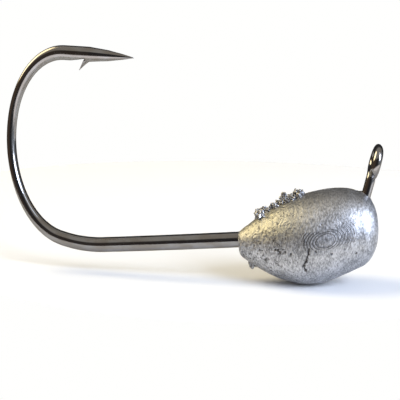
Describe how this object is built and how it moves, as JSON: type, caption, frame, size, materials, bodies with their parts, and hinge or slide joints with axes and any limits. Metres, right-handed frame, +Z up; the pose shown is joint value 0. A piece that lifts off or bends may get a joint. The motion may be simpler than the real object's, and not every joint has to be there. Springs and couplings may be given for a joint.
{
  "type": "jig head",
  "caption": "Fishing jig head: a barbed round bend hook of one bent wire with an egg-shaped lead weight cast on its shank and an upright line eye.",
  "frame": {"origin": "on the axis of the hook's shank at the tail face of the lead head, where a soft bait stops", "axes": "+X along the shank towards the nose of the head and the line eye, +Z up, towards the hook's point and the line eye; the hook is flat in the plane Y = 0"},
  "size_m": [0.0568, 0.009, 0.0254],
  "materials": {
    "black_nickel_steel": "polished dark nickel plate on hardened steel wire",
    "cast_lead": "bare lead as cast, dull grey with a fine grain and a soft sheen"
  },
  "bodies": {
    "root": {"hook": "black_nickel_steel", "lead_head": "cast_lead", "gate_crumbs": "cast_lead", "vent_nib": "cast_lead"}
  },
  "joints": []
}
